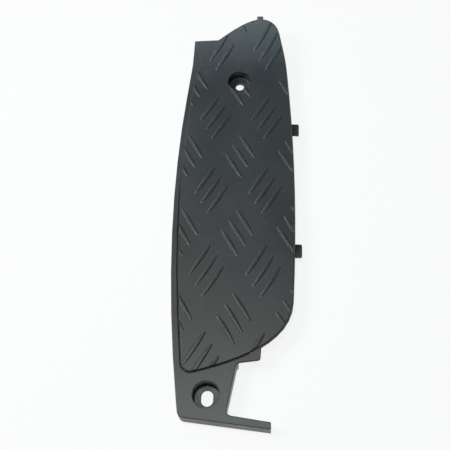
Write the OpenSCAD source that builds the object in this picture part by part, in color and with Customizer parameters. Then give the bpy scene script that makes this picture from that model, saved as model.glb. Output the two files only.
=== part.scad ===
// Left floorboard of a scooter, moulded in one shot of black polypropylene.
// A ribbed shell: a raised tread pad with crossed bars, a narrow outer flange,
// a skirt all round, two recessed bolt wells and a thin arm behind the foot.
// X runs across the scooter to its centre tunnel, Y runs forward, Z is up.
// The origin is the front bolt hole, at the underside of its seat.

/* [Levels] */
// Height of the tread surface above the front bolt seat
tread_z = 11; // [10:0.5:14]
// Overall depth from the tread surface down to the skirt's lower rim
shell_depth = 16.2; // [15:0.2:24]
// Step down from the tread surface to the outer flange
flange_step = 0.9; // [0.8:0.1:2]
// Depth of the groove round the tread, below the flange
groove_depth = 1.2; // [0.4:0.1:1.4]
// Width of the groove round the tread
groove_w = 1.1; // [0.8:0.1:2]
// Distance behind the front bolt at which the groove is still full depth
groove_full = 150; // [120:5:200]
// Length over which the groove then runs out towards the front
groove_fade = 75; // [40:5:100]
// Thickness of the shell's walls and top
wall = 2.6; // [2:0.1:3]
// Rounding of the tread pad's edge
pad_edge_r = 0.7; // [0.4:0.1:0.8]
// Rounding of the shell's outer top edges
edge_r = 0.6; // [0.4:0.1:0.7]
// Thickness of the thin lip on the tunnel side
lip_t = 2.7; // [2.2:0.1:3.4]
// Distance that the skirt stands back under that lip
lip_set = 4; // [2:0.5:5]

/* [Plan] */
// Length of the tread pad from its rear corner to its front edge
tread_l = 365.2; // [350:0.2:380]
// Distance from the front bolt to the front edge of the tread pad
tread_front = 66.8; // [62:0.2:72]
// Greatest distance from the front bolt to the outer side edge
outer_reach = 56; // [53:0.5:60]
// Greatest distance from the front bolt to the tunnel side of the tread
inner_reach = 55.6; // [53:0.1:60]
// Width of the flange strip at the front bolt
strip_front_w = 4.8; // [3.6:0.2:6]
// Width of the flange strip at the rear of the tread
strip_rear_w = 7; // [5:0.2:8]
// Ledge between the tread pad and the tunnel side wall
ledge_w = 0.8; // [0.8:0.1:1.6]
// Radius of the long bow of the outer side
outer_bow_r = 1280; // [1100:10:1500]
// Radius of the long bow of the tunnel side
inner_bow_r = 1850; // [1700:10:2200]
// Forward end of the flange's square front corner
flange_front = 45.8; // [40:0.2:46]
// Width of the flange at that corner
flange_front_w = 22.6; // [20:0.2:24]
// Distance of the nose's tip from the tunnel side
tip_in = 35.6; // [33:0.2:38]
// Length over which the tread's rear end curves
rear_curve_l = 62.4; // [56:0.4:68]
// Slant of the tread's rear edge at its outer corner
rear_edge_slope = 0.288; // [0.2:0.004:0.34]
// Radius of the tread's rear outer corner
tread_corner_r = 8; // [5:0.5:9]

/* [Front rise] */
// Start of the upward curve, behind the front bolt
rise_start = 18; // [12:1:30]
// Radius of the upward curve at the front end
rise_r = 220; // [180:5:400]

/* [Tread bars] */
// Spacing of the bar groups across the board
bar_pitch_x = 50; // [46:1:60]
// Spacing of the bar groups along the board
bar_pitch_y = 82; // [76:1:96]
// Length of the bars that lean towards the tunnel
bar_l = 38; // [30:0.5:40]
// Length of the bars that lean towards the outer side
bar_back_l = 34; // [28:0.5:36]
// Width of a bar at its foot
bar_w = 4.3; // [3:0.1:5]
// Height of a bar at its middle
bar_h = 1.2; // [0.6:0.1:1.4]
// Step between the three bars of a group
bar_step = 12.2; // [11:0.1:14]
// Angle between a bar and the length of the board
bar_angle = 31; // [26:0.5:36]
// Forward shift of the groups next to the tunnel side
bar_tunnel_shift = 4.5; // [0:0.5:8]

/* [Bolt wells] */
// Diameter of both wells
well_d = 22.6; // [20:0.2:24]
// Wall thickness of the well tubes
well_wall = 2.4; // [1.8:0.1:3]
// Diameter of the front bolt hole
front_hole_d = 8.4; // [7:0.2:12]
// Thickness of the front bolt seat
front_seat_t = 2.5; // [2:0.1:3]
// Distance from the tread's rear corner back to the rear bolt
rear_bolt_gap = 19.6; // [17:0.2:22]
// Distance from the outer side edge in to the rear bolt
rear_bolt_edge = 25.2; // [23:0.2:28]
// Width of the rear bolt slot
slot_w = 10; // [7:0.5:11]
// Length of the rear bolt slot
slot_l = 13.5; // [12:0.5:16]
// Thickness of the rear bolt seat
rear_seat_t = 2.6; // [2:0.1:3]

/* [Rear end] */
// Distance from the rear bolt to the rear edge
rear_overhang = 21.4; // [19:0.2:26]
// Fall of the rear edge per millimetre across the board
rear_slope = 0.097; // [0.05:0.005:0.13]
// Rounding of the shell's rear outer corner
rear_corner_r = 5.5; // [4:0.5:9]
// Distance from the rear bolt to the web's tunnel side
web_w = 19.2; // [18:0.1:23]
// Slant of the web's tunnel side per millimetre of length
web_slope = 0.177; // [0.1:0.01:0.2]
// Reach of the rear arm beyond the rear bolt
arm_reach = 53.2; // [46:0.2:58]
// Width of the rear arm at its end
arm_w = 5.8; // [4:0.2:7]
// Growth of the arm's width per millimetre towards the web
arm_taper = 0.035; // [0:0.005:0.06]
// Radius where the arm and the shoulder leave the web
web_fillet_r = 4.5; // [3:0.5:7]
// Distance from the rear bolt to the side of the shoulder behind the tread
shoulder_reach = 44; // [40:0.2:47]
// Length of the shoulder's side edge
shoulder_h = 10.8; // [8:0.2:13]
// Slant of the shoulder's rear edge
shoulder_slope = 0.15; // [0.05:0.01:0.25]
// Rounding of the shoulder's outer corner
shoulder_r = 2.8; // [2:0.2:3.6]

/* [Ribs] */
// Thickness of the stiffening ribs
rib_t = 1.8; // [1.2:0.1:2.4]
// Gap from the ribs' lower edge up from the skirt's rim
rib_gap = 2; // [1:0.5:5]
// Spacing of the cross ribs, one of them on the front bolt
rib_pitch = 37; // [34:1:39]
// Offset of the two long ribs from the front bolt
long_rib_x = 18; // [16:1:22]

/* [Hooks] */
// Length of a side hook along the board
hook_l = 12.8; // [10:0.2:16]
// Reach of the front side hook beyond the edge
hook_reach = 6.8; // [4:0.2:8]
// Reach of the rear side hook beyond the edge
rear_hook_reach = 6.2; // [4:0.2:8]
// Thickness of the hooks
hook_t = 2.4; // [2:0.1:3]
// Depth of the hooks' tops below the tread surface
hook_drop = 6; // [5:0.5:8]
// Depth of the turned-down lip of the side hooks
hook_lip = 2.2; // [1:0.2:3]
// Position of the front side hook, behind the front bolt
front_hook_y = 54; // [50:0.5:60]
// Position of the rear side hook, behind the front bolt
rear_hook_y = 184.8; // [178:0.2:190]
// Width of the tongue at the front end
tongue_w = 6.2; // [5:0.2:9]
// Reach of the tongue beyond the front edge
tongue_reach = 6.4; // [5:0.2:10]
// Position of the tongue, from the front bolt towards the tunnel
tongue_x = 19.3; // [16:0.1:23]

/* [Hidden] */

rim_z = tread_z - shell_depth;
flange_z = tread_z - flange_step;
groove_z = flange_z - groove_depth;
// The ceiling runs lower under the flange, where the groove takes height
flange_ceiling_z = groove_z - 2;
tread_ceiling_z = tread_z - wall;
tread_ceiling_inset = lip_set + wall;
rise_y = -rise_start;
tread_rear = tread_front - tread_l;

// The widest points of the two bowed sides, and where the end curves join them
outer_bow_y = -121;
inner_bow_y = -170;
front_join_y = -12;
rear_join_y = tread_rear + rear_curve_l;
outer_straight_y = 20;
outer_straight_slope = 0.045;
// Samples along the long sides, the end curves, the rise and round a corner
side_n = 8;
curve_n = 12;
corner_n = 5;
rise_n = 10;
nose_n = 8;
edge_n = 3;
// Small overlap that makes touching pieces one solid
bite = 0.5;
// Gap from a bar's cut end to the tread pad's edge
bar_trim = 0.5;
bar_root = 0.4;
far = 80;

black = [0.15, 0.155, 0.16];

// Height gained by the upward curve at the front
function lift(y) = y > rise_y + bite ? rise_r - sqrt(rise_r * rise_r - pow(y - rise_y, 2)) : 0;

function bezier(p, n) = [for (i = [0:n]) let (t = i / n, u = 1 - t)
    u * u * u * p[0] + 3 * u * u * t * p[1] + 3 * u * t * t * p[2] + t * t * t * p[3]];

function cross2(a, b) = a[0] * b[1] - a[1] * b[0];

// Crossing of the line through p along u with the line through q along v
function meet(p, u, q, v) = p + u * (cross2(q - p, v) / cross2(u, v));

// Arc of radius r that rounds the corner b between a and c
function rounded(a, b, c, r) =
    let (u = (a - b) / norm(a - b),
         v = (c - b) / norm(c - b),
         half = acos(u * v) / 2,
         mid = b + (u + v) / norm(u + v) * (r / sin(half)),
         from = b + u * (r / tan(half)) - mid,
         to = b + v * (r / tan(half)) - mid,
         start = atan2(from[1], from[0]),
         turn = atan2(to[1], to[0]) - start,
         sweep = turn > 180 ? turn - 360 : turn < -180 ? turn + 360 : turn)
    [for (i = [0:corner_n]) mid + r * [cos(start + sweep * i / corner_n),
                                       sin(start + sweep * i / corner_n)]];

// Clockwise outline moved inwards, by one distance or by one for each point
function inset(ring, d) =
    let (n = len(ring))
    [for (i = [0:n - 1])
        let (a = ring[(i + n - 1) % n], b = ring[i], c = ring[(i + 1) % n],
             u = (b - a) / norm(b - a),
             v = (c - b) / norm(c - b),
             by = is_list(d) ? d[i] : d)
        b + [u[1] + v[1], -u[0] - v[0]] * (by / max(0.5, 1 + u * v))];

// Long sides of the board
function outer_x(y) = -outer_reach + pow(y - outer_bow_y, 2) / (2 * outer_bow_r);
function inner_x(y) = inner_reach - pow(y - inner_bow_y, 2) / (2 * inner_bow_r);
function flange_x(y) = outer_x(min(y, outer_straight_y))
    + max(0, y - outer_straight_y) * outer_straight_slope;
function strip(y) = strip_front_w
    + (strip_rear_w - strip_front_w)
        * min(1, max(0, (front_join_y - y) / (front_join_y - tread_rear)));
rear_bolt_y = tread_rear - rear_bolt_gap;
rear_bolt = [outer_x(rear_bolt_y) + rear_bolt_edge, rear_bolt_y];
shoulder_x = rear_bolt[0] + shoulder_reach;

// End curves of the tread: outer sweep, nose, tip, tunnel flank and rear
tread_join = [outer_x(front_join_y) + strip_front_w, front_join_y];
notch = [flange_x(flange_front) + flange_front_w, flange_front - 1.4];
tip = [inner_reach - tip_in, tread_front];
flank_top = tip + [19.1, -16.2];
sweep_curve = bezier([tread_join, notch + [-14.5, 4.3], notch + [-1.2, -1], notch], curve_n);
nose_curve = bezier([notch, notch + [10.6, 8.2], tip - [13.5, 0], tip], curve_n);
tip_curve = bezier([tip, tip + [17, 0], flank_top + [-0.4, 1.4], flank_top], curve_n);
flank_curve = bezier([flank_top, flank_top + [7.2, -29.4], flank_top + [6.8, -30.8],
                      [inner_x(front_join_y), front_join_y]], curve_n);
// The rear curve ends where the tread's rounded outer corner begins
rear_corner = [outer_x(tread_rear) + strip_rear_w + 1.5 * tread_corner_r, tread_rear];
rear_join = [inner_x(rear_join_y), rear_join_y];
rear_span = rear_join[0] - rear_corner[0];
rear_side_pull = 0.58;
rear_end_pull = 0.426;
rear_curve = bezier([rear_join,
                     rear_join - [0.015 * rear_span, rear_side_pull * rear_curve_l],
                     rear_corner + rear_end_pull * rear_span * [1, rear_edge_slope],
                     rear_corner], curve_n);
outer_table = [for (p = concat(sweep_curve, nose_curve)) [p[1], p[0]]];
inner_table = [for (p = concat(tip_curve, flank_curve)) [p[1], p[0]]];
function tread_outer(y) = y < front_join_y ? outer_x(y) + strip(y) : lookup(y, outer_table);
function tread_inner(y) = y < front_join_y ? inner_x(y) : lookup(y, inner_table);

// Stations along the rise, closer together towards the nose. The pad's lie between
// the shell's, so that the edges of the two never run into each other.
shell_phase = 0;
pad_phase = 0.5;
function rise_ys(phase) = concat(
    [for (i = [1:rise_n]) rise_y + (flange_front - rise_y) * (i - phase) / rise_n],
    [for (i = [0:nose_n - 1]) let (y = flange_front + bite / 2)
        y + (tread_front - y) * sin(90 * (i + phase) / nose_n)]);
rise_count = rise_n + nose_n;

function sides(x_of, from, to, n) = [for (i = [0:n])
    let (y = from + (to - from) * i / n) [x_of(y), y]];

// Tread outline: the flat part first, then up the outer side and down the inner one
tread_corner = rear_corner - 1.5 * tread_corner_r * [1, rear_edge_slope];
tread_up_y = tread_corner[1] + 2.2 * tread_corner_r;
function tread_flat(n) = concat(
    sides(function (y) inner_x(y), rise_y, rear_join_y, n),
    [for (i = [1:curve_n]) rear_curve[i]],
    rounded(rear_corner, tread_corner, [tread_outer(tread_up_y), tread_up_y], tread_corner_r),
    sides(function (y) tread_outer(y), tread_up_y, rise_y, n));
function tread_outline(phase, n) = let (ys = rise_ys(phase)) concat(
    tread_flat(n),
    [for (y = ys) [tread_outer(y), y]],
    [tip],
    [for (i = [rise_count - 1:-1:0]) [tread_inner(ys[i]), ys[i]]]);
pad_side_n = side_n - 1;
tread_ring = tread_outline(pad_phase, pad_side_n);
tread_nf = len(tread_flat(pad_side_n));

// Shell outline: the tread's with a ledge, the flange strip, the shoulder, web and arm
ledge_ring = inset(tread_outline(shell_phase, side_n), -ledge_w);
ledge_nf = len(tread_flat(side_n));
curve_end = side_n + curve_n;
ledge_rear = [for (i = [side_n:curve_end]) ledge_ring[i]];
shoulder_top = [shoulder_x, lookup(shoulder_x, ledge_rear)];
shoulder_corner = shoulder_top - [0.4, shoulder_h];
rear_mid = rear_bolt - [0, rear_overhang];
rear_dir = [1, -rear_slope];
web_mid = rear_bolt + [web_w, 0];
web_dir = [web_slope, 1];
arm_rear = meet(rear_mid, rear_dir, rear_bolt + [arm_reach, 0], [0, 1]);
arm_front = arm_rear + [0, arm_w];
arm_dir = [1, -rear_slope - arm_taper];
web_top = meet(shoulder_corner, [1, shoulder_slope], web_mid, web_dir);
web_bottom = meet(arm_front, arm_dir, web_mid, web_dir);
web_rear = meet(rear_mid, rear_dir, web_mid, web_dir);
shell_corner_y = rear_mid[1] + rear_slope * rear_bolt_edge;
shell_corner = [outer_x(shell_corner_y), shell_corner_y];
shell_up_y = shell_corner_y + 2.2 * rear_corner_r;

function outer_side(behind) = concat(
    rounded(behind, shell_corner, [outer_x(shell_up_y), shell_up_y], rear_corner_r),
    sides(function (y) outer_x(y), shell_up_y, rise_y, side_n));
shell_rise = let (ys = rise_ys(shell_phase))
    [for (i = [0:2 * rise_count])
        i < rise_n ? [flange_x(ys[i]), ys[i]] : ledge_ring[ledge_nf + i]];

shell_flat = concat(
    [for (i = [0:curve_end]) if (ledge_ring[i][0] > shoulder_x + 1.5) ledge_ring[i]],
    [shoulder_top],
    rounded(shoulder_top, shoulder_corner, web_top, shoulder_r),
    rounded(shoulder_corner, web_top, web_bottom, web_fillet_r),
    rounded(web_top, web_bottom, arm_front, web_fillet_r),
    [arm_front, arm_rear],
    outer_side(arm_rear));

// Skirt outline: set back under the lip on the tunnel side, then down beside the web
setback_ring = inset(ledge_ring, lip_set);
turn_x = web_top[0] + 2 * bite;
skirt_side = [for (i = [0:curve_end]) if (setback_ring[i][0] > turn_x + 1.5) setback_ring[i]];
turn_top = [turn_x, lookup(turn_x, [for (i = [side_n:curve_end]) setback_ring[i]])];
turn_foot = meet(shoulder_corner, [1, shoulder_slope], turn_top, [0, 1]);
skirt_flat = concat(skirt_side, [turn_top, turn_foot, web_top, web_rear], outer_side(web_rear));

// Levels of a slab whose top edge is rounded
function soft_top(bottom, top, r) = concat([[bottom, 0]],
    [for (i = [0:edge_n]) [top - r + r * sin(90 * i / edge_n), r - r * cos(90 * i / edge_n)]]);

// Flat outline cut into triangles, one ear at a time
function outside(p, a, b, c) = cross2(b - a, p - a) > 0 || cross2(c - b, p - b) > 0
    || cross2(a - c, p - c) > 0;
function is_ear(ring, ids, i) =
    let (n = len(ids), a = ids[(i + n - 1) % n], b = ids[i], c = ids[(i + 1) % n])
    cross2(ring[b] - ring[a], ring[c] - ring[b]) < 0
    && len([for (k = ids) if (k != a && k != b && k != c
            && !outside(ring[k], ring[a], ring[b], ring[c])) k]) == 0;
function next_ear(ring, ids, i) = is_ear(ring, ids, i) ? i : next_ear(ring, ids, i + 1);
function triangles(ring, ids) = len(ids) == 3 ? [ids] :
    let (n = len(ids), k = next_ear(ring, ids, 0))
    concat([[ids[(k + n - 1) % n], ids[k], ids[(k + 1) % n]]],
           triangles(ring, [for (i = [0:n - 1]) if (i != k) ids[i]]));

// Body between levels of height and inset, curved up at the front.
// The first nf points of its outline are flat, the others pair up across the rise.
module slab(ring, nf, levels) {
    n = len(ring);
    pairs = (n - nf - 1) / 2;
    top = n * (len(levels) - 1);
    points = [for (l = levels) for (p = inset(ring, l[1])) [p[0], p[1], l[0] + lift(p[1])]];
    rise = concat(
        [[nf - 1, nf, n - 1], [nf - 1, n - 1, 0]],
        [for (k = [1:pairs - 1]) [nf - 1 + k, nf + k, n - k - 1]],
        [for (k = [1:pairs - 1]) [nf - 1 + k, n - k - 1, n - k]],
        [[nf - 1 + pairs, nf + pairs, nf + pairs + 1]]);
    flat = [for (i = [0:nf - 1]) i];
    cap = concat(triangles(inset(ring, levels[len(levels) - 1][1]), flat), rise);
    base = concat(triangles(inset(ring, levels[0][1]), flat), rise);
    skirt = [for (j = [0:len(levels) - 2]) for (i = [0:n - 1])
        let (a = j * n + i, b = j * n + (i + 1) % n,
             plane = i < nf - 1 || levels[j][1] == levels[j + 1][1])
        each plane ? [[a, b, b + n, a + n]] : [[a, b, b + n], [a, b + n, a + n]]];
    polyhedron(points, concat(
        [for (f = cap) [for (v = f) v + top]],
        [for (f = base) [f[2], f[1], f[0]]],
        skirt));
}

module shell_body() {
    slab(concat(shell_flat, shell_rise), len(shell_flat), soft_top(rim_z, flange_z, edge_r));
}

// Space under the tunnel side's lip and under the shoulder, outside of the skirt
module undercut() {
    behind = turn_foot[1] - lip_set;
    translate([0, 0, rim_z - 1])
        linear_extrude(flange_z - lip_t - rim_z + 1)
            polygon(concat(skirt_side, [turn_top, [turn_x, behind], [far, behind],
                                        [far, skirt_side[0][1]]]));
}

// Sharp groove on the flange side of the tread, which runs out above the flange in front
module groove() {
    outer = inset(tread_ring, -groove_w);
    inner = inset(tread_ring, bite);
    first = [for (i = [pad_side_n:tread_nf]) if (tread_ring[i][0] < shoulder_x - 4) i][0];
    last = tread_nf + rise_n;
    n = last - first + 1;
    function at(p, z) = [p[0], p[1], z + lift(p[1])];
    function floor_z(y) = groove_z
        + (groove_depth + bite) * min(1, max(0, (y + groove_full) / groove_fade));
    points = [for (i = [first:last]) let (z = floor_z(tread_ring[i][1]))
        each [at(inner[i], z), at(outer[i], z),
              at(outer[i], tread_z + 4), at(inner[i], tread_z + 4)]];
    polyhedron(points, concat(
        [[0, 1, 2, 3], [4 * n - 1, 4 * n - 2, 4 * n - 3, 4 * n - 4]],
        [for (i = [0:n - 2]) for (k = [0:3])
            let (a = 4 * i + k, b = 4 * i + (k + 1) % 4)
            each [[b, a, a + 4], [b, a + 4, b + 4]]]));
}

module tread_pad() {
    slab(tread_ring, tread_nf, soft_top(groove_z - bite, tread_z, pad_edge_r));
}

// One raised bar: a slender lens in plan with steep flanks, which follows the rise
module bar(at, lean, length) {
    lens = [for (s = [-0.82, -0.45, 0, 0.45, 0.82]) [s, pow(1 - s * s, 0.6)]];
    section = [[-1, 0], [-0.78, 0.9], [0, 1], [0.78, 0.9], [1, 0]];
    dir = [sin(lean), cos(lean)];
    across = [cos(lean), -sin(lean)];
    function place(s, c, h) = let (p = at + dir * (s * length / 2) + across * (c * bar_w / 2))
        [p[0], p[1], tread_z - bar_root + h * (bar_h + bar_root) + lift(p[1])];
    last = len(lens) * 5;
    points = concat([for (l = lens) for (c = section) place(l[0], c[0] * l[1], c[1] * l[1])],
                    [place(-1, 0, 0), place(1, 0, 0)]);
    flat = at[1] + length / 2 < rise_y;
    polyhedron(points, concat(
        [for (k = [0:4]) [last, k, (k + 1) % 5]],
        [for (k = [0:4]) [last + 1, last - 5 + (k + 1) % 5, last - 5 + k]],
        [for (j = [0:len(lens) - 2]) for (k = [0:4])
            let (a = j * 5 + k, b = j * 5 + (k + 1) % 5)
            each flat ? [[a, a + 5, b + 5, b]] : [[a, a + 5, b + 5], [a, b + 5, b]]]));
}

// The pattern leaves out a bar that would run past the front of the front well
module bar_off_well(at, lean, length) {
    if (norm(at) > well_d || at[1] < 0) bar(at, lean, length);
}

// Groups of three bars that lean one way, with groups that lean back between them.
// The groups next to the tunnel side stand a little further forward.
module tread_bars() {
    group = [-21.8, -43.9];
    back_group = [4.3, -88.4];
    rows = ceil(tread_l / bar_pitch_y);
    intersection() {
        union() {
            for (i = [0:1], j = [-1:rows - 2], k = [-1:1])
                bar(group + [i * bar_pitch_x, -j * bar_pitch_y]
                    + k * bar_step * [sin(bar_angle), -cos(bar_angle)], bar_angle, bar_l);
            for (i = [-1:1], j = [-2:rows - 3], k = [-1:1])
                bar_off_well(back_group
                    + [i * bar_pitch_x, (i > 0 ? bar_tunnel_shift : 0) - j * bar_pitch_y]
                    + k * bar_step * [sin(bar_angle), cos(bar_angle)], -bar_angle, bar_back_l);
        }
        translate([0, 0, rim_z])
            linear_extrude(far) polygon(inset(tread_ring, bar_trim));
    }
}

// Hollow underside: low under the flange, higher under the tread, and the arm's angle
module hollow() {
    slab(inset(concat(skirt_flat, shell_rise), wall), len(skirt_flat),
         [[rim_z - 1, 0], [flange_ceiling_z, 0]]);
    slab(inset(tread_ring, tread_ceiling_inset), tread_nf,
         [[flange_ceiling_z - bite, 0], [tread_ceiling_z, 0]]);
    arm_start = web_bottom + [2 * web_fillet_r, 0];
    arm_stop = arm_rear - [wall, 0];
    translate([0, 0, rim_z - 1])
        linear_extrude(flange_z - wall - rim_z + 1)
            polygon([[arm_start[0], arm_start[1] + wall],
                     [arm_stop[0], arm_front[1] + wall],
                     [arm_stop[0], arm_rear[1] + rear_slope * wall + wall],
                     meet(rear_mid + [0, wall], rear_dir, arm_start, [0, 1])]);
}

// Everything that may fill the hollow, from the ribs' lower edge up into the roof
module rib_space() {
    slab(inset(concat(skirt_flat, shell_rise), 1), len(skirt_flat),
         [[rim_z + rib_gap, 0], [flange_ceiling_z + 1, 0]]);
    slab(inset(tread_ring, tread_ceiling_inset - 1), tread_nf,
         [[flange_ceiling_z, 0], [tread_z - 1, 0]]);
}

module ribs() {
    first = -floor(tread_front / rib_pitch);
    last = floor((-rear_bolt[1] - well_d / 2) / rib_pitch);
    tube_d = well_d + 2 * well_wall;
    intersection() {
        union() {
            difference() {
                union() {
                    for (k = [first:last])
                        translate([-far, -k * rib_pitch - rib_t / 2, rim_z - 1])
                            cube([2 * far, rib_t, far]);
                    translate([-far, rear_bolt[1] - rib_t / 2, rim_z - 1])
                        cube([2 * far, rib_t, far]);
                    for (x = [-long_rib_x, long_rib_x])
                        translate([x - rib_t / 2, rear_bolt[1] - far, rim_z - 1])
                            cube([rib_t, 2 * far - rear_bolt[1], far]);
                }
                // The bracket of the front bolt stands here, against the seat
                translate([0, 0, rim_z - 1])
                    cylinder(h = 1 - rim_z, d = tube_d, $fn = 96);
            }
            cylinder(h = far, d = tube_d, $fn = 96);
        }
        rib_space();
    }
    translate([rear_bolt[0], rear_bolt[1], rim_z])
        cylinder(h = flange_ceiling_z + 1 - rim_z, d = tube_d, $fn = 96);
}

module wells() {
    translate([0, 0, front_seat_t])
        cylinder(h = far, d = well_d, $fn = 96);
    translate([0, 0, rim_z - 1])
        cylinder(h = far, d = front_hole_d, $fn = 64);
    translate([rear_bolt[0], rear_bolt[1], rim_z + rear_seat_t])
        cylinder(h = far, d = well_d, $fn = 96);
    for (s = [-1, 1])
        translate([rear_bolt[0], rear_bolt[1] + s * (slot_l - slot_w) / 2, rim_z - 1])
            cylinder(h = far, d = slot_w, $fn = 64);
    translate([rear_bolt[0] - slot_w / 2, rear_bolt[1] - (slot_l - slot_w) / 2, rim_z - 1])
        cube([slot_w, slot_l - slot_w, far]);
}

// Hook on the tunnel side: a plate from the set-back skirt, with bevelled corners
// and a turned-down lip
module side_hook(y, reach) {
    edge = inner_x(y) + ledge_w;
    root = edge - lip_set - wall / 2;
    bevel = 1.2;
    top = tread_z - hook_drop;
    translate([0, 0, top - hook_t])
        linear_extrude(hook_t)
            polygon([[root, y - hook_l / 2], [root, y + hook_l / 2],
                     [edge + reach - bevel, y + hook_l / 2], [edge + reach, y + hook_l / 2 - bevel],
                     [edge + reach, y - hook_l / 2 + bevel], [edge + reach - bevel, y - hook_l / 2]]);
    translate([edge + reach - hook_t, y - hook_l / 2 + bevel, top - hook_t - hook_lip])
        cube([hook_t, hook_l - 2 * bevel, hook_lip + hook_t / 2]);
}

module tongue() {
    slope = asin((tread_front - rise_y) / rise_r);
    translate([tongue_x, tread_front, tread_z - hook_drop + lift(tread_front)])
        rotate([slope, 0, 0])
            translate([-tongue_w / 2, -wall, -hook_t])
                cube([tongue_w, wall + ledge_w + tongue_reach, hook_t]);
}

module floorboard() {
    color(black)
        difference() {
            union() {
                difference() {
                    union() {
                        difference() {
                            shell_body();
                            undercut();
                            groove();
                        }
                        tread_pad();
                        tread_bars();
                    }
                    hollow();
                }
                ribs();
                side_hook(-front_hook_y, hook_reach);
                side_hook(-rear_hook_y, rear_hook_reach);
                tongue();
            }
            wells();
        }
}

floorboard();
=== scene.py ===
import math

import bpy
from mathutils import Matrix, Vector


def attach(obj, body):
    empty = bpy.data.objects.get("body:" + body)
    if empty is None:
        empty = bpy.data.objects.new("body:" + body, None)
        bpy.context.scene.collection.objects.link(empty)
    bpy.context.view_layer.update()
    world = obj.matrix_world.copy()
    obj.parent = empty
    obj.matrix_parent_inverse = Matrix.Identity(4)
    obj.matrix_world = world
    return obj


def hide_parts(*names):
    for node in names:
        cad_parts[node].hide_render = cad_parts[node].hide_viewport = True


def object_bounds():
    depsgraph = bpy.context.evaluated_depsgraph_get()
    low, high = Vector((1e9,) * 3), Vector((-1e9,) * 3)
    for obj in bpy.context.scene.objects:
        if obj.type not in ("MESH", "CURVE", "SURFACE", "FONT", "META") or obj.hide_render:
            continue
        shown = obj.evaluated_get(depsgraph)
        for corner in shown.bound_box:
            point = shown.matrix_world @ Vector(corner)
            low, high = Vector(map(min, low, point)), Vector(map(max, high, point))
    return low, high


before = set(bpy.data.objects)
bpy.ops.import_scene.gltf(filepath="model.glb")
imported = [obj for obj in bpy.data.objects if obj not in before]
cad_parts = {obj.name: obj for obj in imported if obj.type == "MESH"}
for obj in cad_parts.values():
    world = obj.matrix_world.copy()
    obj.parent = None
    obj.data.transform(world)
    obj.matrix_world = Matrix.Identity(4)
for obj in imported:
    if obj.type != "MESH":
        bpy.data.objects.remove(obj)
cad_box = [list(corner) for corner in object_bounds()]


# The floorboard is one injection moulding in black polypropylene: tread pad, flange,
# skirt, wells, hooks and ribs in a single shot, so it is one piece here too.
# Its mould edges are all slightly broken, which a fine remesh of the solid gives.

board_voxel = 0.00038
board_smoothing = 1
board_triangles = 190000
# The front end curves up on one radius, from this line across the board
rise_line = -0.018
rise_radius = 0.220
pad_top = 0.0110
flange_top = 0.0101
face_tolerance = 0.00008
# Cosine of the lean up to which a triangle counts as part of a top face
face_lean = 0.995


def rise(y):
    reach = max(0.0, y - rise_line)
    return rise_radius - math.sqrt(rise_radius ** 2 - reach ** 2)


def rise_normal(y):
    lean = math.asin(max(0.0, y - rise_line) / rise_radius)
    return Vector((0.0, -math.sin(lean), math.cos(lean)))


def face_level(co):
    """The level of the pad's or the flange's top face where a point is on it, or None."""
    height = co.z - rise(co.y)
    near = [level for level in (pad_top, flange_top) if abs(height - level) < face_tolerance]
    return near[0] if near else None


def true_faces(piece):
    """Lay the top faces on their flat and on the arc of the rise, without steps."""
    for point in piece.data.vertices:
        level = face_level(point.co)
        if level is not None:
            point.co.z = level + rise(point.co.y)


def true_normals(piece):
    """Shade the top faces by their flat and by the arc, not by the mesh's triangles."""
    mesh = piece.data
    shading = [None] * len(mesh.loops)
    for face in mesh.polygons:
        ends = [mesh.vertices[i] for i in face.vertices]
        lies = face.normal.dot(rise_normal(face.center.y)) > face_lean and any(
            face_level(point.co) is not None for point in ends)
        for corner, point in zip(face.loop_indices, ends):
            shading[corner] = rise_normal(point.co.y) if lies else point.normal.copy()
    mesh.normals_split_custom_set(shading)


def bake_modifiers(piece):
    depsgraph = bpy.context.evaluated_depsgraph_get()
    mesh = bpy.data.meshes.new_from_object(piece.evaluated_get(depsgraph))
    old = piece.data
    piece.modifiers.clear()
    piece.data = mesh
    bpy.data.meshes.remove(old)


def moulded_copy(source, name):
    """A copy of a solid with the soft edges that a mould leaves, light enough to export."""
    piece = bpy.data.objects.new(name, source.data.copy())
    bpy.context.scene.collection.objects.link(piece)
    remesh = piece.modifiers.new("mould", "REMESH")
    remesh.mode = "VOXEL"
    remesh.voxel_size = board_voxel
    remesh.use_smooth_shade = True
    soften = piece.modifiers.new("soften", "SMOOTH")
    soften.factor = 0.5
    soften.iterations = board_smoothing
    bake_modifiers(piece)
    lean = piece.modifiers.new("lean", "DECIMATE")
    lean.ratio = min(1.0, board_triangles / (2 * len(piece.data.polygons)))
    bake_modifiers(piece)
    true_faces(piece)
    piece.data.shade_smooth()
    true_normals(piece)
    return piece


board = moulded_copy(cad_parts["floorboard"], "moulded_board")
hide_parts("floorboard")
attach(board, "root")


# The plastic is a node material. Its maths is written as plain sums on sockets, and its
# grain, dust and wear come from noise and from how sharply the surface bends. Its creases get
# painted shade, its front rise a painted bluish sheen and its rear a painted warm tint.

class Sock:
    """A node socket that adds Math nodes when it is used in a sum."""

    def __init__(self, shader, socket):
        self.shader, self.socket = shader, socket

    def math(self, operation, a, b):
        return self.shader.add("ShaderNodeMath", {"operation": operation}, {0: a, 1: b})

    def __add__(self, other):
        return self.math("ADD", self, other)

    def __radd__(self, other):
        return self.math("ADD", other, self)

    def __sub__(self, other):
        return self.math("SUBTRACT", self, other)

    def __rsub__(self, other):
        return self.math("SUBTRACT", other, self)

    def __mul__(self, other):
        return self.math("MULTIPLY", self, other)

    def __rmul__(self, other):
        return self.math("MULTIPLY", other, self)


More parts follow.
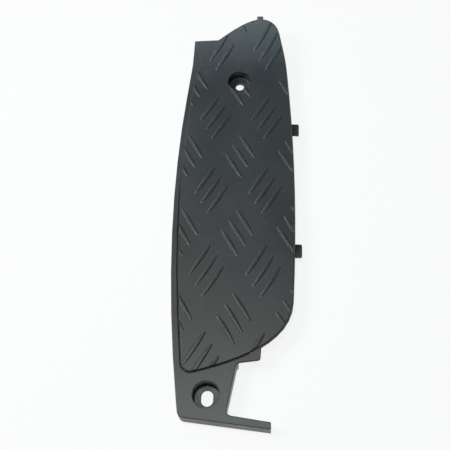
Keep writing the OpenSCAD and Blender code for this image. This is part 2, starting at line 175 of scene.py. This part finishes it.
class Shader:
    """One material's nodes."""

    def __init__(self, name):
        self.material = bpy.data.materials.new(name)
        self.material.use_nodes = True
        self.tree = self.material.node_tree
        self.tree.nodes.clear()

    def add(self, kind, settings, values, out=0):
        node = self.tree.nodes.new(kind)
        for key, value in settings.items():
            if key == "stops":
                ramp = node.color_ramp
                while len(ramp.elements) < len(value):
                    ramp.elements.new(1.0)
                for stop, (place, colour) in zip(ramp.elements, value):
                    stop.position, stop.color = place, (*colour, 1.0)
            else:
                setattr(node, key, value)
        for key, value in values.items():
            if isinstance(value, Sock):
                self.tree.links.new(value.socket, node.inputs[key])
            else:
                node.inputs[key].default_value = value
        return Sock(self, node.outputs[out]) if node.outputs else None

    def mix(self, factor, a, b):
        return self.add("ShaderNodeMix", {"data_type": "RGBA"}, {0: factor, 6: a, 7: b}, out=2)

    def ramp(self, value, low, high):
        return self.add("ShaderNodeMapRange", {"interpolation_type": "SMOOTHSTEP"},
                        {"Value": value, "From Min": low, "From Max": high})

    def finish(self, surface):
        self.add("ShaderNodeOutputMaterial", {}, {"Surface": surface})
        return self.material


def black_polypropylene():
    """Unpainted dark grey plastic with a spark-eroded grain, some dust and rubbed spots, painted
    shade in its creases, a painted bluish sheen on the front rise and a painted warm tint towards
    the rear.
    """
    s = Shader("black_polypropylene")
    place = s.add("ShaderNodeTexCoord", {}, {}, out="Object")
    cloud = s.add("ShaderNodeTexNoise", {}, {"Vector": place, "Scale": 24.0, "Detail": 4.0,
                                             "Roughness": 0.55})
    drift = s.add("ShaderNodeTexNoise", {}, {"Vector": place, "Scale": 9.0, "Detail": 2.0})
    grain = s.add("ShaderNodeTexNoise", {}, {"Vector": place, "Scale": 1900.0, "Detail": 3.0,
                                             "Roughness": 0.6})
    pits = s.add("ShaderNodeTexVoronoi", {"feature": "SMOOTH_F1"},
                 {"Vector": place, "Scale": 950.0, "Smoothness": 0.6})
    crumbs = s.add("ShaderNodeTexNoise", {}, {"Vector": place, "Scale": 420.0, "Detail": 1.0})
    bend = s.add("ShaderNodeNewGeometry", {}, {}, out="Pointiness")
    tone = s.ramp(cloud * 0.6 + drift * 0.4, 0.35, 0.65)
    cool = s.mix(tone, (0.025, 0.029, 0.033, 1.0), (0.032, 0.036, 0.040, 1.0))
    warm = s.mix(tone, (0.031, 0.029, 0.025, 1.0), (0.039, 0.036, 0.032, 1.0))
    along = s.add("ShaderNodeSeparateXYZ", {}, {"Vector": place}, out="Y")
    # Painted warm light: the colour turns warmer and a little lighter towards the rear end.
    painted_warm_rear = s.mix(s.ramp(along + drift * 0.3, 0.10, -0.22), cool, warm)
    # Painted sheen: the front rise turns lighter and bluer, standing in for bluish light mirrored
    # on it.
    painted_front_sheen = s.mix(s.ramp(along + cloud * 0.05, 0.01, 0.09), painted_warm_rear, (0.042, 0.056, 0.064, 1.0))
    dusty = s.mix(s.ramp(crumbs, 0.70, 0.78) * 0.45, painted_front_sheen, (0.12, 0.125, 0.12, 1.0))
    rubbed = s.mix(s.ramp(bend, 0.53, 0.62) * 0.35, dusty, (0.075, 0.080, 0.080, 1.0))
    # Painted shade: concave creases, such as the feet of the bars, are darkened nearly to black.
    colour = s.mix(s.ramp(0.5 - bend, 0.02, 0.10) * 0.7, rubbed, (0.008, 0.008, 0.009, 1.0))
    height = grain * 0.6 + pits * 0.4
    relief = s.add("ShaderNodeBump", {}, {"Strength": 0.25, "Distance": 0.00012, "Height": height})
    rough = 0.32 + tone * 0.06 + grain * 0.08
    plastic = s.add("ShaderNodeBsdfPrincipled", {}, {
        "Base Color": colour, "Roughness": rough, "IOR": 1.49, "Normal": relief})
    return s.finish(plastic)


board.data.materials.clear()
board.data.materials.append(black_polypropylene())


# The ground is a white paper sheet that the board lies on, with a ring of the same paper
# round it. Camera, glossy and transmission rays see it as nearly plain white.

# The ground lies just under the rim, so that the two don't share a plane
ground_gap = 0.00003
lowest = cad_box[0][2] - ground_gap
# Share of plain white that the camera sees on the ground, over its lit and shadowed paper
ground_whiteness = 0.87


def studio_paper():
    s = Shader("studio_paper")
    paper = s.add("ShaderNodeBsdfDiffuse", {}, {"Color": (0.88, 0.88, 0.88, 1.0)})
    white = s.add("ShaderNodeEmission", {}, {"Color": (1.0, 1.0, 1.0, 1.0), "Strength": 1.0})
    seen = s.add("ShaderNodeLightPath", {}, {}, out="Is Camera Ray")
    mirrored = s.add("ShaderNodeLightPath", {}, {}, out="Is Glossy Ray")
    through = s.add("ShaderNodeLightPath", {}, {}, out="Is Transmission Ray")
    share = (seen + mirrored + through) * ground_whiteness
    return s.finish(s.add("ShaderNodeMixShader", {}, {0: share, 1: paper, 2: white}))


def staged(name, corners, faces, paper):
    mesh = bpy.data.meshes.new(name)
    mesh.from_pydata(corners, [], faces)
    mesh.materials.append(paper)
    thing = bpy.data.objects.new(name, mesh)
    bpy.context.scene.collection.objects.link(thing)


paper = studio_paper()
ground_reach = 6.0
staged("ground",
       [(x * ground_reach, y * ground_reach, lowest)
        for x, y in ((-1, -1), (1, -1), (1, 1), (-1, 1))],
       [(0, 1, 2, 3)], paper)

# A low ring of the same paper stands round it, so that no horizon shows
ring_radius = 5.8
ring_top = 2.6
ring_sides = 64
turns = [2 * math.pi * k / ring_sides for k in range(ring_sides)]
staged("backdrop",
       [(ring_radius * math.cos(a), ring_radius * math.sin(a), z)
        for z in (lowest, ring_top) for a in turns],
       [(k, (k + 1) % ring_sides, ring_sides + (k + 1) % ring_sides, ring_sides + k)
        for k in range(ring_sides)], paper)


# The air of the studio is a faint plain glow, which only fills the darkest shadows.

def studio_air():
    world = bpy.data.worlds.new("studio_air")
    bpy.context.scene.world = world
    world.use_nodes = True
    glow = world.node_tree.nodes["Background"]
    glow.inputs["Color"].default_value = (0.93, 0.97, 1.0, 1.0)
    glow.inputs["Strength"].default_value = 0.06


studio_air()


# Four soft boxes light the board. The key stands at the left and draws the dark lines right
# of the bars, a window fills from the front, and two overhead are mirrored in the plastic.

def soft_box(name, place, target, size, power, colour):
    lamp = bpy.data.lights.new(name, "AREA")
    lamp.shape = "RECTANGLE"
    lamp.size, lamp.size_y = size
    lamp.energy = power
    lamp.color = colour
    holder = bpy.data.objects.new(name, lamp)
    bpy.context.scene.collection.objects.link(holder)
    holder.location = place
    holder.rotation_euler = (Vector(target) - Vector(place)).to_track_quat("-Z", "Y").to_euler()


middle = (0.0, -0.14, 0.0)
soft_box("key_from_left", (-0.95, -0.10, 1.05), middle, (0.4, 0.4), 10.5, (1.0, 0.985, 0.96))
soft_box("window_in_front", (-0.55, 0.55, 0.95), middle, (0.4, 0.4), 3.0, (0.82, 0.95, 1.0))
soft_box("window_overhead", (-0.06, -0.22, 1.20), (0.0, -0.05, 0.0), (0.24, 0.20), 4.6,
         (0.72, 0.92, 1.0))
soft_box("warm_overhead", (-0.08, 0.02, 1.25), middle, (0.24, 0.20), 0.9, (1.0, 0.84, 0.62))


# The camera stands behind and above the board's rear end, where the photograph was taken.
# Its place, turn and lens were solved from the repeat of the tread pattern.

camera_place = (0.04475, -0.4835, 0.6181)
camera_turn = (math.radians(27.943), math.radians(3.495), math.radians(2.628))

lens = bpy.data.cameras.new("camera")
lens.sensor_width = 36.0
lens.lens = 60.88
lens.clip_start = 0.01
camera = bpy.data.objects.new("camera", lens)
camera.location = camera_place
camera.rotation_euler = camera_turn
bpy.context.scene.collection.objects.link(camera)
bpy.context.scene.camera = camera

bpy.context.scene.view_settings.view_transform = "Standard"
